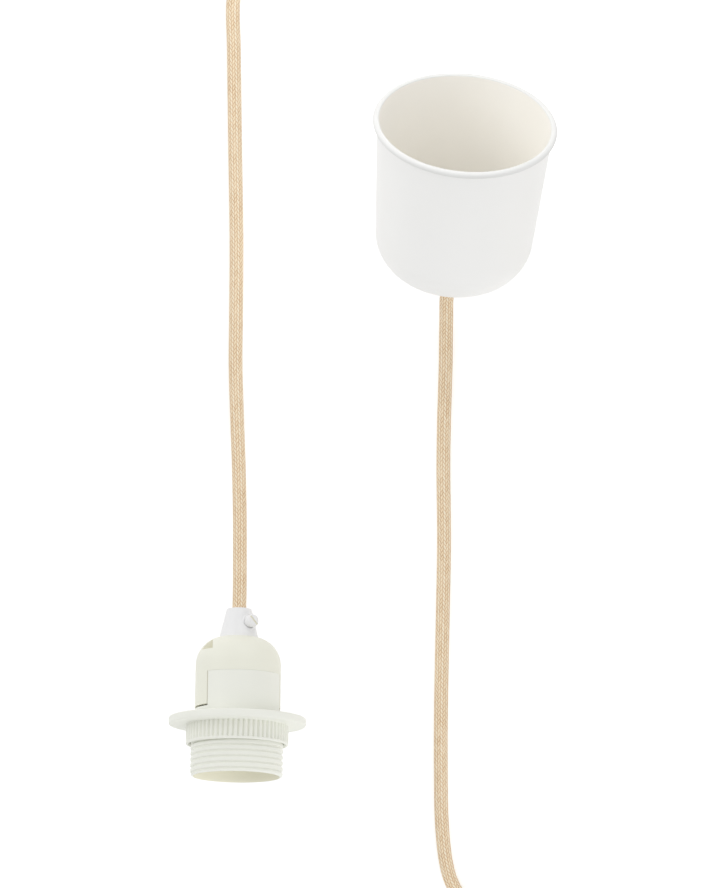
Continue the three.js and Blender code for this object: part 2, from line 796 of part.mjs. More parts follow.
const holderRun = [
  [hankRight, hankY + hankMouth, 13.9],
  [hankRight, 64.0, 10.3],
  [197.8, 84.0, 4.9],
  [197.3, 104.0, onTable],
  [198.0, 136.0, onTable],
  [196.0, 170.0, onTable],
  [181.0, 197.0, onTable],
  [152.0, 208.5, onTable],
  [118.0, 207.0, onTable],
  [84.0, 209.5, onTable],
  [48.0, 212.5, onTable],
  [12.0, 215.0, onTable],
  [-16.0, 215.0, onTable],
  [-33.0, 212.4, onTable],
  [-45.2, 205.8, onTable],
  [-52.4, 196.2, onTable],
  [-54.9, 184.0, onTable],
  [-54.7, 162.0, onTable],
  [-54.2, 122.0, onTable],
  [-53.6, 80.0, onTable],
  [-53.8, 48.0, onTable],
  [-54.0, 28.0, onTable],
  [-53.3, 4.0, 4.0],
  [-52.5, -17.0, 6.9],
  [-52.0, -38.0, 11.3],
  [-51.9, -56.0, 15.5],
  holderStub,
  holderExit,
];

// How far the hank's two columns of cord lie from its middle: wide at the folds, pinched under the tie
const hankWaist = cordRadius + 0.2;
const pinchHalf = tieWidth / 2 + 0.5;
const hankOffset = (along) => {
  const share = Math.max(0, Math.abs(along) - pinchHalf) / (hankHalfRun - pinchHalf);
  return hankWaist + (hankFoldRadius - hankWaist) * 0.5 * (1 - Math.cos(Math.PI * share));
};
const hankBase = tieThickness + touchGap;
const hankHeight = hankLayers * layerPitch + 0.1;

function cordHank() {
  const skin = cordRadius + hankSkin;
  const foldPoint = (angle) => [hankReach * Math.cos(angle), hankHalfRun + hankReach * Math.sin(angle)];
  const halfSide = Array.from({ length: 5 }, (_, i) => pinchHalf + ((hankHalfRun - pinchHalf) * i) / 4);
  const side = [...halfSide.map((y) => -y).reverse(), ...halfSide];
  const round = Array.from({ length: 9 }, (_, i) => ((i + 1) / 10) * Math.PI);
  const half = [...side.map((y) => [hankOffset(y) + skin, y]), ...round.map(foldPoint)];
  const outline = new THREE.Shape([
    ...half.map(([x, y]) => new THREE.Vector2(x, y)),
    ...half.map(([x, y]) => new THREE.Vector2(-x, -y)),
  ]);
  return moved(raised(outline, hankHeight), hankX, hankY, hankBase);
}

function hankTie() {
  const innerHalf = hankWaist + cordRadius + hankSkin + touchGap;
  const outerHalf = innerHalf + tieThickness;
  const innerHeight = hankHeight + 2 * touchGap;
  const outer = block(
    2 * outerHalf, tieWidth, innerHeight + 2 * tieThickness, 0, 0, innerHeight / 2 + tieThickness,
  );
  const inner = block(2 * innerHalf, tieWidth * 2, innerHeight, 0, 0, innerHeight / 2 + tieThickness);
  return moved(outer.subtract(inner), hankX, hankY, 0);
}

const cordPieces = [
  piece("cord_cup_run", tube(cupRun, cordRadius, cordSides, 36), textile),
  piece("cord_hank", cordHank(), textile),
  piece("hank_tie", hankTie(), tieTextile),
  piece("cord_holder_run", tube(holderRun, cordRadius, cordSides, 40), textile),
];

const cordSet = new THREE.Group();
cordSet.name = "pendant_cord_set";
cordSet.add(holder, cup, ...cordPieces);

export default cordSet;
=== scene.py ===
# Pendant cord set: lamp holder, textile cord and ceiling cup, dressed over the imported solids.
# Sizes are in millimetres and are brought to metres when a piece is placed.
import math

import bmesh
import bpy
from mathutils import Matrix, Vector


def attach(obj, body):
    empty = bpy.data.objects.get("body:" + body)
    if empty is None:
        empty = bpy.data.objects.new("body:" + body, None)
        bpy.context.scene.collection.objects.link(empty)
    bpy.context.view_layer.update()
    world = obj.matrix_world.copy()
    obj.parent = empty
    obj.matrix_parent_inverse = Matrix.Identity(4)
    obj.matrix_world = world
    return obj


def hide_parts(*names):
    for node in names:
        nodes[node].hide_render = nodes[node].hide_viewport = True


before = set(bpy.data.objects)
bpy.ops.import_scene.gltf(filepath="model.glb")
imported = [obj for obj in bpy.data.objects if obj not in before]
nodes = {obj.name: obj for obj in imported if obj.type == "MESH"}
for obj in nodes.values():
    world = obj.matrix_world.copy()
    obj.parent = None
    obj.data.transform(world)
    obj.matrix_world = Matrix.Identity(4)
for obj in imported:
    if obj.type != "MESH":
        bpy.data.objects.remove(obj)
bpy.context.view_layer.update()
mm = 0.001
print("frame loaded,", len(nodes), "nodes")

# Camera, straight above the table
view = {"lens": 243.24, "sensor": 36.0, "reach": 20.0, "place": (0.612, -6.337, 2578.0)}

cameraData = bpy.data.cameras.new("tableCamera")
cameraData.lens = view["lens"]
cameraData.sensor_width = view["sensor"]
cameraData.clip_end = view["reach"]
camera = bpy.data.objects.new("tableCamera", cameraData)
camera.location = Vector(view["place"]) * mm
bpy.context.scene.collection.objects.link(camera)
bpy.context.scene.camera = camera

# Where the holder and the cup lie: their own +Z runs along the cord,
# from the holder's mouth and from the cup's base
holder = {"origin": (-53.109, -147.479, 33.22), "tilt": -100.9, "lean": -0.8}
cup = {"origin": (37.953, 67.864, 19.223), "tilt": -53.5, "lean": -5.23}


def placeOf(spec):
    lean = Matrix.Rotation(math.radians(spec["lean"]), 4, "Z")
    tilt = Matrix.Rotation(math.radians(spec["tilt"]), 4, "X")
    turn = lean @ tilt
    return Matrix.Translation(Vector(spec["origin"]) * mm) @ turn @ Matrix.Scale(mm, 4)


holderPlace = placeOf(holder)
cupPlace = placeOf(cup)
tablePlace = Matrix.Scale(mm, 4)


# Node materials, written as plain expressions
class Wire:
    def __init__(self, finish, socket):
        self.finish = finish
        self.socket = socket

    def worked(self, operation, *values):
        return self.finish.node("ShaderNodeMath", {"operation": operation}, dict(enumerate(values)))

    def __add__(self, other):
        return self.worked("ADD", self, other)

    def __radd__(self, other):
        return self.worked("ADD", other, self)

    def __sub__(self, other):
        return self.worked("SUBTRACT", self, other)

    def __rsub__(self, other):
        return self.worked("SUBTRACT", other, self)

    def __mul__(self, other):
        return self.worked("MULTIPLY", self, other)

    def __rmul__(self, other):
        return self.worked("MULTIPLY", other, self)

    def __truediv__(self, other):
        return self.worked("DIVIDE", self, other)

    def __rtruediv__(self, other):
        return self.worked("DIVIDE", other, self)

    def __pow__(self, other):
        return self.worked("POWER", self, other)

    def __rpow__(self, other):
        return self.worked("POWER", other, self)

    def floor(self):
        return self.worked("FLOOR", self)

    def fract(self):
        return self.worked("FRACT", self)

    def sine(self):
        return self.worked("SINE", self)

    def atMost(self, other):
        return self.worked("MINIMUM", self, other)

    def atLeast(self, other):
        return self.worked("MAXIMUM", self, other)


class Finish:
    def __init__(self, name):
        self.material = bpy.data.materials.new(name)
        self.material.use_nodes = True
        self.tree = self.material.node_tree
        self.tree.nodes.clear()

    def node(self, kind, settings=None, values=None, out=0):
        made = self.tree.nodes.new(kind)
        for key, setting in (settings or {}).items():
            if key == "stops":
                while len(made.color_ramp.elements) < len(setting):
                    made.color_ramp.elements.new(0.5)
                for element, (where, colour) in zip(made.color_ramp.elements, setting):
                    element.position = where
                    element.color = (*colour, 1.0)
            else:
                setattr(made, key, setting)
        for key, value in (values or {}).items():
            if isinstance(value, Wire):
                self.tree.links.new(value.socket, made.inputs[key])
            elif value is not None:
                made.inputs[key].default_value = value
        return Wire(self, made.outputs[out])

    def coordinates(self, output="Object"):
        return self.node("ShaderNodeTexCoord", out=output)

    def noise(self, coordinates, scale, detail):
        values = {"Vector": coordinates, "Scale": scale, "Detail": detail, "Roughness": 0.5}
        return self.node("ShaderNodeTexNoise", None, values)

    def between(self, factor, first, second):
        settings = {"data_type": "RGBA"}
        return self.node("ShaderNodeMix", settings, {0: factor, 6: (*first, 1.0), 7: (*second, 1.0)}, 2)

    def bump(self, height, distance):
        return self.node("ShaderNodeBump", None, {"Strength": 1.0, "Distance": distance, "Height": height})

    def surface(self, **values):
        named = {key.replace("_", " "): value for key, value in values.items()}
        shader = self.node("ShaderNodeBsdfPrincipled", None, named, "BSDF")
        self.outputFrom(shader)
        return self.material

    def outputFrom(self, shader):
        output = self.tree.nodes.new("ShaderNodeOutputMaterial")
        self.tree.links.new(shader.socket, output.inputs["Surface"])


def fromBytes(red, green, blue):
    def linear(value):
        share = value / 255
        return share / 12.92 if share <= 0.04045 else ((share + 0.055) / 1.055) ** 2.4

    return tuple(linear(value) for value in (red, green, blue))


# Moulded plastic: faint patches of colour, a fine skin and small changes of gloss
moulding = {
    "patches": 38.0, "fine": 900.0, "flow": 140.0, "fineShare": 0.6, "flowShare": 0.4,
    "gloss": 0.1, "skin": 0.01,
}


def mouldedPlastic(name, light, deep, roughness):
    finish = Finish(name)
    where = finish.coordinates()
    patches = finish.noise(where, moulding["patches"], 3.0)
    fine = finish.noise(where, moulding["fine"], 2.0)
    flow = finish.noise(where, moulding["flow"], 2.0)
    height = fine * moulding["fineShare"] + flow * moulding["flowShare"]
    return finish.surface(
        Base_Color=finish.between(patches, fromBytes(*deep), fromBytes(*light)),
        Roughness=roughness - moulding["gloss"] / 2 + flow * moulding["gloss"],
        Normal=finish.bump(height, moulding["skin"] * mm),
        Specular_IOR_Level=0.45,
    )


# Plain metal, a little cloudy, with a fine grain
metalGrain = {"cloud": 420.0, "fine": 2600.0, "gloss": 0.16, "skin": 0.006}


def plainMetal(name, light, deep, roughness):
    finish = Finish(name)
    where = finish.coordinates()
    cloud = finish.noise(where, metalGrain["cloud"], 3.0)
    fine = finish.noise(where, metalGrain["fine"], 2.0)
    return finish.surface(
        Base_Color=finish.between(cloud, fromBytes(*deep), fromBytes(*light)),
        Metallic=1.0,
        Roughness=roughness - metalGrain["gloss"] / 2 + cloud * metalGrain["gloss"],
        Normal=finish.bump(fine, metalGrain["skin"] * mm),
    )


# Dull rubber
rubberGrain = {"cloud": 160.0, "fine": 1500.0, "roughness": 0.7, "change": 0.2, "skin": 0.02}


def softRubber(name, light, deep):
    finish = Finish(name)
    where = finish.coordinates()
    fine = finish.noise(where, rubberGrain["fine"], 3.0)
    cloud = finish.noise(where, rubberGrain["cloud"], 3.0)
    return finish.surface(
        Base_Color=finish.between(cloud, fromBytes(*deep), fromBytes(*light)),
        Roughness=rubberGrain["roughness"] + fine * rubberGrain["change"],
        Normal=finish.bump(fine, rubberGrain["skin"] * mm),
        Specular_IOR_Level=0.3,
    )


# Smooth, rather glossy insulation of a wire
insulationSkin = {"cloud": 300.0, "roughness": 0.32, "change": 0.12, "skin": 0.01}


def wireInsulation(name, light, deep):
    finish = Finish(name)
    where = finish.coordinates()
    cloud = finish.noise(where, insulationSkin["cloud"], 2.0)
    return finish.surface(
        Base_Color=finish.between(cloud, fromBytes(*deep), fromBytes(*light)),
        Roughness=insulationSkin["roughness"] + cloud * insulationSkin["change"],
        Normal=finish.bump(cloud, insulationSkin["skin"] * mm),
    )


ivoryPlastic = mouldedPlastic("ivoryPlastic", (246, 247, 239), (243, 244, 235), 0.46)
# painted shade: the holder's ivory plastic again, painted warmer for the shaded inside of its mouth
skirtInsidePaintedShade = mouldedPlastic("skirtInsidePaintedShade", (250, 248, 230), (247, 244, 224), 0.5)
capPlastic = mouldedPlastic("capPlastic", (244, 244, 232), (241, 241, 227), 0.46)
# painted shade: a darker tan for the narrow gaps beside the snap tongues
slotPaintedShade = mouldedPlastic("slotPaintedShade", (236, 228, 200), (230, 220, 188), 0.55)
# painted shade: a darker tan for the release slots in the cap and the slot of the grip screw
recessPaintedShade = mouldedPlastic("recessPaintedShade", (235, 233, 216), (230, 227, 208), 0.55)
cupPlastic = mouldedPlastic("cupPlastic", (252, 252, 251), (250, 250, 248), 0.5)
# painted shade: the cup's plastic painted greyer on its rolled lip
lipPaintedShade = mouldedPlastic("lipPaintedShade", (234, 234, 233), (231, 231, 229), 0.55)
# painted light: the cup's plastic painted brighter and warmer on its inside and floor
cupInsidePaintedLight = mouldedPlastic("cupInsidePaintedLight", (255, 253, 248), (254, 251, 244), 0.55)
gripPlastic = mouldedPlastic("gripPlastic", (244, 244, 245), (241, 241, 241), 0.42)
innerPlastic = mouldedPlastic("innerPlastic", (233, 230, 217), (226, 222, 206), 0.5)
brassMetal = plainMetal("brassMetal", (214, 184, 110), (190, 156, 84), 0.34)
zincSteel = plainMetal("zincSteel", (200, 203, 206), (176, 180, 186), 0.36)
bushRubber = softRubber("bushRubber", (44, 44, 43), (34, 34, 34))
brownInsulation = wireInsulation("brownInsulation", (112, 68, 40), (98, 58, 34))
blueInsulation = wireInsulation("blueInsulation", (52, 104, 182), (42, 90, 166))
print("plain finishes made")


# Braided cord: sixteen half columns of slanted yarns round it, mirrored by turns into chevrons
braid = {
    "halfColumns": 16, "pitch": 1.85, "slant": 0.8, "stagger": 0.25,
    "acrossFall": 4.6, "alongFall": 4.9, "roundness": 0.7,  # how a yarn falls off from its crown
    "threads": 26.0, "threadShift": 6.0, "drift": 60.0, "fibre": 5200.0,
    "lit": 0.48, "litMore": 0.15,  # one family of yarns catches more light than the other
    "toneLit": 1.25, "toneChance": 0.2, "toneThreads": 0.06, "toneDrift": 0.14, "toneFibre": 0.1,
    "reliefThreads": 0.1, "reliefFibre": 0.16, "relief": 0.16,
    "roughness": 0.78, "roughnessFibre": 0.15,
    "stops": (0.05, 0.5, 0.95), "colours": ((207, 168, 126), (252, 231, 198), (255, 243, 220)),
}


def braidedTextile(name, spec, length):
    finish = Finish(name)
    place = finish.coordinates("UV")
    split = finish.node("ShaderNodeSeparateXYZ", None, {0: place})
    along = Wire(finish, split.socket.node.outputs[0])
    around = Wire(finish, split.socket.node.outputs[1])
    columns = around * float(spec["halfColumns"])
    column = columns.floor()
    across = columns.fract() - 0.5  # from one edge of a half column to the other
    parity = (column * 0.5).fract() * 4.0 - 1.0  # -1 and 1 by turns
    yarns = along * (length / (spec["pitch"] * mm)) + parity * (across * spec["slant"] + spec["stagger"])
    yarn = yarns.floor()
    inYarn = yarns.fract() - 0.5
    fall = 1.0 - across * across * spec["acrossFall"] - inYarn * inYarn * spec["alongFall"]
    crown = fall.atLeast(0.0) ** spec["roundness"]
    cell = finish.node("ShaderNodeCombineXYZ", None, {0: yarn, 1: column})
    chance = finish.node("ShaderNodeTexWhiteNoise", {"noise_dimensions": "2D"}, {"Vector": cell})
    threads = (inYarn * spec["threads"] + chance * spec["threadShift"]).sine() * 0.5 + 0.5
    where = finish.coordinates()
    drift = finish.noise(where, spec["drift"], 3.0)
    fibre = finish.noise(where, spec["fibre"], 3.0)
    height = crown + threads * spec["reliefThreads"] + fibre * spec["reliefFibre"]
    # painted light and shade: the yarns' crowns are painted lighter and the valleys between them darker, and
    # one family of yarns is painted lighter than the other
    facing = crown * (spec["lit"] + parity * spec["litMore"])
    tone = facing * spec["toneLit"] + chance * spec["toneChance"] + threads * crown * spec["toneThreads"]
    tone = tone + drift * spec["toneDrift"] + fibre * spec["toneFibre"]
    tone = tone.atLeast(0.0).atMost(1.0)
    ramp = {"stops": [(stop, fromBytes(*colour)) for stop, colour in zip(spec["stops"], spec["colours"])]}
    return finish.surface(
        Base_Color=finish.node("ShaderNodeValToRGB", ramp, {"Fac": tone}),
        Roughness=spec["roughness"] + fibre * spec["roughnessFibre"],
        Normal=finish.bump(height, spec["relief"] * mm),
        Specular_IOR_Level=0.25,
        Sheen_Weight=0.12,
        Sheen_Roughness=0.5,
    )


# The cord, one piece from the clamp in the cup to its end in the holder
cord = {
    "radius": 2.9,
    "sheath": 3.0,  # with the nap of its yarns
    "sides": 24,
    "spacing": 1.25,
    "shift": (-0.0866, 0.2438, -0.0127),  # from the source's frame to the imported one
    "inCup": (24.0, 12.0, 0.0, -6.0),  # heights on the cup's axis, from the cord's end
    "inHolder": (82.0, 71.6, 62.0, 52.7),  # heights on the holder's axis, to the cord's other end
    "cupRun": [
        (36.5, 56.2, 11.5), (36.4, 47.5, 6.9), (36.3, 38.5, 3.9), (36.2, 28.0, 3.0), (35.5, 3.5, 3.0),
        (35.2, -16.0, 3.0), (35.5, -48.0, 3.0), (34.9, -82.0, 3.0), (34.2, -118.0, 3.0), (34.1, -147.0, 3.0),
        (34.6, -170.0, 3.0), (36.5, -187.0, 3.0), (39.0, -195.2, 3.0), (44.9, -204.4, 3.0),
        (53.6, -210.2, 3.0), (65.0, -213.0, 3.0), (86.0, -214.5, 3.0), (112.0, -213.0, 3.0),
        (146.0, -213.5, 3.0), (175.0, -206.0, 3.0), (192.5, -184.0, 3.0), (197.5, -152.0, 3.0),
        (197.8, -118.0, 3.0), (198.2, -90.0, 3.0), (198.3, -74.0, 3.0),
    ],
    "holderRun": [
        (198.3, 64.0, 10.3), (197.8, 84.0, 4.9), (197.3, 104.0, 3.0), (198.0, 136.0, 3.0),
        (196.0, 170.0, 3.0), (181.0, 197.0, 3.0), (152.0, 208.5, 3.0), (118.0, 207.0, 3.0),
        (84.0, 209.5, 3.0), (48.0, 212.5, 3.0), (12.0, 215.0, 3.0), (-16.0, 215.0, 3.0),
        (-33.0, 212.4, 3.0), (-45.2, 205.8, 3.0), (-52.4, 196.2, 3.0), (-54.9, 184.0, 3.0),
        (-54.7, 162.0, 3.0), (-54.2, 122.0, 3.0), (-53.6, 80.0, 3.0), (-53.8, 48.0, 3.0),
        (-54.0, 28.0, 3.0), (-53.3, 4.0, 4.0), (-52.5, -17.0, 6.9), (-52.0, -38.0, 11.3),
        (-51.9, -56.0, 15.5),
    ],
}
hank = {
    "middle": (180.3, -6.0), "foldRadius": 18.0, "halfRun": 40.0, "layers": 3, "layerPitch": 5.9,
    "waist": 3.1, "pinchHalf": 3.0, "onTie": 4.1, "onTable": 3.0, "liftEnd": 0.72, "steps": 10,
}


# The hank's two columns: wide at the folds, pinched under the tie, and lifted there by the tie's thickness
def hankPoint(side, y, layer):
    share = max(0.0, abs(y) - hank["pinchHalf"]) / (hank["halfRun"] - hank["pinchHalf"])
    rise = 0.5 * (1 - math.cos(math.pi * min(1.0, share)))
    x = side * (hank["waist"] + (hank["foldRadius"] - hank["waist"]) * rise)
    z = hank["onTie"] + (hank["onTable"] - hank["onTie"]) * rise + layer * hank["layerPitch"]
    return Vector((hank["middle"][0] + x, hank["middle"][1] + y, z))


def hankFold(end, angle, layer):
    x = hank["foldRadius"] * math.cos(angle)
    y = end * (hank["halfRun"] + hank["foldRadius"] * math.sin(angle))
    z = hank["onTable"] + layer * hank["layerPitch"]
    return Vector((hank["middle"][0] + x, hank["middle"][1] + y, z))


def hankRoute():
    steps = hank["steps"]
    rows = [hank["halfRun"] * (2 * step / steps - 1) for step in range(steps + 1)]
    turns = [math.pi * step / steps for step in range(1, steps)]
    points = []
    for layer in range(hank["layers"]):
        points += [hankPoint(1, y, layer) for y in rows]
        if layer == hank["layers"] - 1:
            break
        points += [hankFold(1, angle, layer) for angle in turns]
        points += [hankPoint(-1, -y, layer) for y in rows]
        for angle in turns:
            lift = min(1.0, angle / (hank["liftEnd"] * math.pi))
            points.append(hankFold(-1, math.pi - angle, layer + 0.5 * (1 - math.cos(math.pi * lift))))
    return points


# A centripetal spline through the points, then evenly spaced
def smoothLine(points, spacing, fine=24):
    first = points[0] * 2 - points[1]
    last = points[-1] * 2 - points[-2]
    line = [first, *points, last]
    dense = []
    for a, b, c, d in zip(line, line[1:], line[2:], line[3:]):
        ta = 0.0
        tb = ta + (b - a).length ** 0.5
        tc = tb + (c - b).length ** 0.5
        td = tc + (d - c).length ** 0.5
        for step in range(fine):
            t = tb + (tc - tb) * step / fine
            ab = a.lerp(b, (t - ta) / (tb - ta))
            bc = b.lerp(c, (t - tb) / (tc - tb))
            cd = c.lerp(d, (t - tc) / (td - tc))
            abc = ab.lerp(bc, (t - ta) / (tc - ta))
            bcd = bc.lerp(cd, (t - tb) / (td - tb))
            dense.append(abc.lerp(bcd, (t - tb) / (tc - tb)))
    dense.append(points[-1].copy())
    lengths = [0.0]
    for a, b in zip(dense, dense[1:]):
        lengths.append(lengths[-1] + (b - a).length)
    count = max(2, round(lengths[-1] / spacing))
    even = []
    at = 0
    for step in range(count + 1):
        goal = lengths[-1] * step / count
        while at < len(lengths) - 2 and lengths[at + 1] < goal:
            at += 1
        share = (goal - lengths[at]) / max(1e-9, lengths[at + 1] - lengths[at])
        even.append(dense[at].lerp(dense[at + 1], share))
    return even, lengths[-1]


def newPiece(name, bm, material, body="set", sharp=35.0, others=()):
    for face in bm.faces:
        face.smooth = True
    for edge in bm.edges:
        edge.smooth = edge.calc_face_angle(0.0) < math.radians(sharp)
    mesh = bpy.data.meshes.new(name)
    bm.to_mesh(mesh)
    bm.free()
    mesh.materials.append(material)
    for other in others:
        mesh.materials.append(other)
    piece = bpy.data.objects.new(name, mesh)
    bpy.context.scene.collection.objects.link(piece)
    if body:
        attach(piece, body)
    return piece


# A grid of rings and sides, rolled into a tube along a line of points
def tubeAlong(line, radius, sides):
    bm = bmesh.new()
    bm.loops.layers.uv.new("along")
    bmesh.ops.create_grid(bm, x_segments=len(line) - 1, y_segments=sides, size=0.5, calc_uvs=True)
    ahead = (line[1] - line[0]).normalized()
    across = ahead.orthogonal().normalized()
    rings = []
    for index, point in enumerate(line):
        before = line[max(0, index - 1)]
        after = line[min(len(line) - 1, index + 1)]
        direction = (after - before).normalized()
        across = (across - direction * across.dot(direction)).normalized()
        rings.append((point, across.copy(), direction.cross(across)))
    for vertex in bm.verts:
        point, one, two = rings[round((vertex.co.x + 0.5) * (len(line) - 1))]
        angle = (vertex.co.y + 0.5) * 2 * math.pi
        vertex.co = point + (one * math.cos(angle) + two * math.sin(angle)) * radius
    bmesh.ops.remove_doubles(bm, verts=bm.verts, dist=0.001)
    bmesh.ops.holes_fill(bm, edges=[edge for edge in bm.edges if edge.is_boundary], sides=0)
    bmesh.ops.recalc_face_normals(bm, faces=bm.faces)
    return bm


shift = Vector(cord["shift"])
cupLine = [cupPlace @ Vector((0, 0, z)) / mm for z in cord["inCup"]]
gripLine = [holderPlace @ Vector((0, 0, z)) / mm for z in cord["inHolder"]]
route = cupLine
route += [Vector(point) + shift for point in cord["cupRun"]]
route += [point + shift for point in hankRoute()]
route += [Vector(point) + shift for point in cord["holderRun"]]
route += gripLine
cordPath, cordLength = smoothLine(route, cord["spacing"])
cordTextile = braidedTextile("cordTextile", braid, cordLength * mm)
cordMesh = tubeAlong(cordPath, cord["sheath"], cord["sides"])
bmesh.ops.transform(cordMesh, matrix=tablePlace, verts=cordMesh.verts)
cordPiece = newPiece("braidedCord", cordMesh, cordTextile)
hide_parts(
    "cord_cup_run", "cord_hank", "cord_holder_run", "cord_end_in_cup", "cord_end_in_holder",
)
print("cord laid,", round(cordLength), "mm long")

# Woven band round the hank's waist, its end laid over its start
tie = {
    "halfWidth": 6.5, "low": 0.7, "high": 19.3, "corner": 3.4, "width": 5.0, "thickness": 0.8,
    "start": 0.2, "turns": 1.16, "lap": 0.86, "lapRise": 0.12, "lapGap": 0.1, "steps": 180, "rows": 8,
    "selvedge": 0.16, "selvedgeShare": 0.3, "edge": 0.25, "thread": 0.42,
    "weave": 0.55, "rib": 0.3, "toneBase": 0.35, "toneWeave": 0.55, "toneChance": 0.12, "toneFibre": 0.14,
    "fibre": 4800.0, "reliefFibre": 0.2, "relief": 0.14, "roughness": 0.78, "roughnessFibre": 0.15,
    "light": (248, 245, 238), "deep": (214, 208, 196),
}


# A point of the band's middle line and the way out from it, a share of the way round
def tiePoint(spec, share):
    wide = 2 * (spec["halfWidth"] - spec["corner"])
    tall = spec["high"] - spec["low"] - 2 * spec["corner"]
    quarter = spec["corner"] * math.pi / 2
    at = (share % 1.0) * (2 * wide + 2 * tall + 4 * quarter)
    middle = (spec["low"] + spec["high"]) / 2
    side = Vector((1.0, 0.0))
    corner = Vector((wide / 2, -tall / 2))
    for straight in (tall, wide, tall, wide):
        ahead = Vector((-side.y, side.x))
        if at <= straight:
            place = corner + ahead * at + side * spec["corner"]
            return Vector((place.x, place.y + middle)), side
        at -= straight
        corner = corner + ahead * straight
        if at <= quarter:
            turn = at / spec["corner"]
            out = side * math.cos(turn) + ahead * math.sin(turn)
            place = corner + out * spec["corner"]
            return Vector((place.x, place.y + middle)), out
        at -= quarter
        side = ahead


def wovenBand(name, spec):
    finish = Finish(name)
    place = finish.coordinates("UV")
    split = finish.node("ShaderNodeSeparateXYZ", None, {0: place})
    along = Wire(finish, split.socket.node.outputs[0]) / spec["thread"]
    across = Wire(finish, split.socket.node.outputs[1]) / spec["thread"]
    parity = ((along.floor() + across.floor()) * 0.5).fract() * 4.0 - 1.0
    warp = (along.fract() * math.pi).sine()
    weft = (across.fract() * math.pi).sine()
    weave = warp * weft * spec["weave"] + (warp - weft) * parity * spec["rib"]
    cell = finish.node("ShaderNodeCombineXYZ", None, {0: along.floor(), 1: across.floor()})
    chance = finish.node("ShaderNodeTexWhiteNoise", {"noise_dimensions": "2D"}, {"Vector": cell})
    fibre = finish.noise(finish.coordinates(), spec["fibre"], 3.0)
    tone = spec["toneBase"] + weave * spec["toneWeave"]
    tone = tone + chance * spec["toneChance"] + fibre * spec["toneFibre"]
    tone = tone.atLeast(0.0).atMost(1.0)
    return finish.surface(
        Base_Color=finish.between(tone, fromBytes(*spec["deep"]), fromBytes(*spec["light"])),
        Roughness=spec["roughness"] + fibre * spec["roughnessFibre"],
        Normal=finish.bump(weave + fibre * spec["reliefFibre"], spec["relief"] * mm),
        Specular_IOR_Level=0.25,
        Sheen_Weight=0.12,
        Sheen_Roughness=0.5,
    )


def hankBand(spec, middle):
    bm = bmesh.new()
    layer = bm.loops.layers.uv.new("along")
    bmesh.ops.create_grid(bm, x_segments=spec["steps"], y_segments=spec["rows"], size=0.5)
    once = 2 * math.pi * spec["corner"] + 4 * (spec["halfWidth"] - spec["corner"])
    once += 2 * (spec["high"] - spec["low"] - 2 * spec["corner"])
    for vertex in bm.verts:
        along = (vertex.co.x + 0.5) * spec["turns"] * once
        across = (vertex.co.y + 0.5) * spec["width"]
        for loop in vertex.link_loops:
            loop[layer].uv = (along, across)
    for vertex in bm.verts:
        share = (vertex.co.x + 0.5) * spec["turns"]
        point, out = tiePoint(spec, share + spec["start"])
        over = min(1.0, max(0.0, (share - spec["lap"]) / spec["lapRise"]))
        edge = 1.0 - abs(vertex.co.y) * 2
        drawn = spec["selvedge"] * max(0.0, spec["selvedgeShare"] - edge)  # the woven edges are drawn in
        reach = over * over * (3 - 2 * over) * (spec["thickness"] + spec["lapGap"]) - drawn
        x = middle[0] + point.x + out.x * reach
        y = middle[1] + vertex.co.y * spec["width"]
        vertex.co = Vector((x, y, point.y + out.y * reach))
    bmesh.ops.recalc_face_normals(bm, faces=bm.faces)
    bmesh.ops.transform(bm, matrix=tablePlace, verts=bm.verts)
    return bm


tieTextile = wovenBand("tieTextile", tie)
tieMiddle = (hank["middle"][0] + shift.x, hank["middle"][1] + shift.y)
tiePiece = newPiece("hankTie", hankBand(tie, tieMiddle), tieTextile, sharp=60.0)
thicker = tiePiece.modifiers.new("cloth", "SOLIDIFY")
thicker.thickness = tie["thickness"] * mm
thicker.offset = 0.0
softer = tiePiece.modifiers.new("edges", "BEVEL")
softer.width = tie["edge"] * mm
softer.segments = 2
softer.limit_method = "ANGLE"
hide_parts("hank_tie")

cordLength * mm
[point * mm for point in cordPath]

# Values and shapes that the pieces share
merged = 1e-4  # corners this close are one
onSurface = 0.02  # a corner this close to a radius lies on it
overcut = 1.0  # how far a cutting shape passes what it cuts


# A profile of (radius, height) points turned about Z; an open one ends on the axis
def turned(profile, steps, closed=True):
    bm = bmesh.new()
    corners = [bm.verts.new((radius, 0.0, height)) for radius, height in profile]
    ends = corners[1:] + corners[:1] if closed else corners[1:]
    edges = [bm.edges.new(pair) for pair in zip(corners, ends)]
    bmesh.ops.spin(
        bm, geom=corners + edges, cent=(0, 0, 0), axis=(0, 0, 1),
        angle=2 * math.pi, steps=steps, use_merge=True,
    )
    bmesh.ops.remove_doubles(bm, verts=bm.verts, dist=merged)
    bmesh.ops.recalc_face_normals(bm, faces=bm.faces)
    return bm


# Points of an arc in a profile, angles in degrees
def arc(radius, height, size, start, end, steps):
    turns = [math.radians(start + (end - start) * step / steps) for step in range(steps + 1)]
    return [(radius + size * math.cos(turn), height + size * math.sin(turn)) for turn in turns]


def rows(radius, low, high, step):
    count = max(1, round(abs(high - low) / step))
    return [(radius, low + (high - low) * index / count) for index in range(count + 1)]


def block(size, middle, turn=0.0):
    bm = bmesh.new()
    bmesh.ops.create_cube(bm, size=1.0)
    bmesh.ops.scale(bm, vec=size, verts=bm.verts)
    bmesh.ops.translate(bm, vec=middle, verts=bm.verts)
    bmesh.ops.rotate(bm, cent=(0, 0, 0), matrix=Matrix.Rotation(math.radians(turn), 3, "Z"), verts=bm.verts)
    return bm


def asObject(bm):
    mesh = bpy.data.meshes.new("working")
    bm.to_mesh(mesh)
    bm.free()
    made = bpy.data.objects.new("working", mesh)
    bpy.context.scene.collection.objects.link(made)
    return made


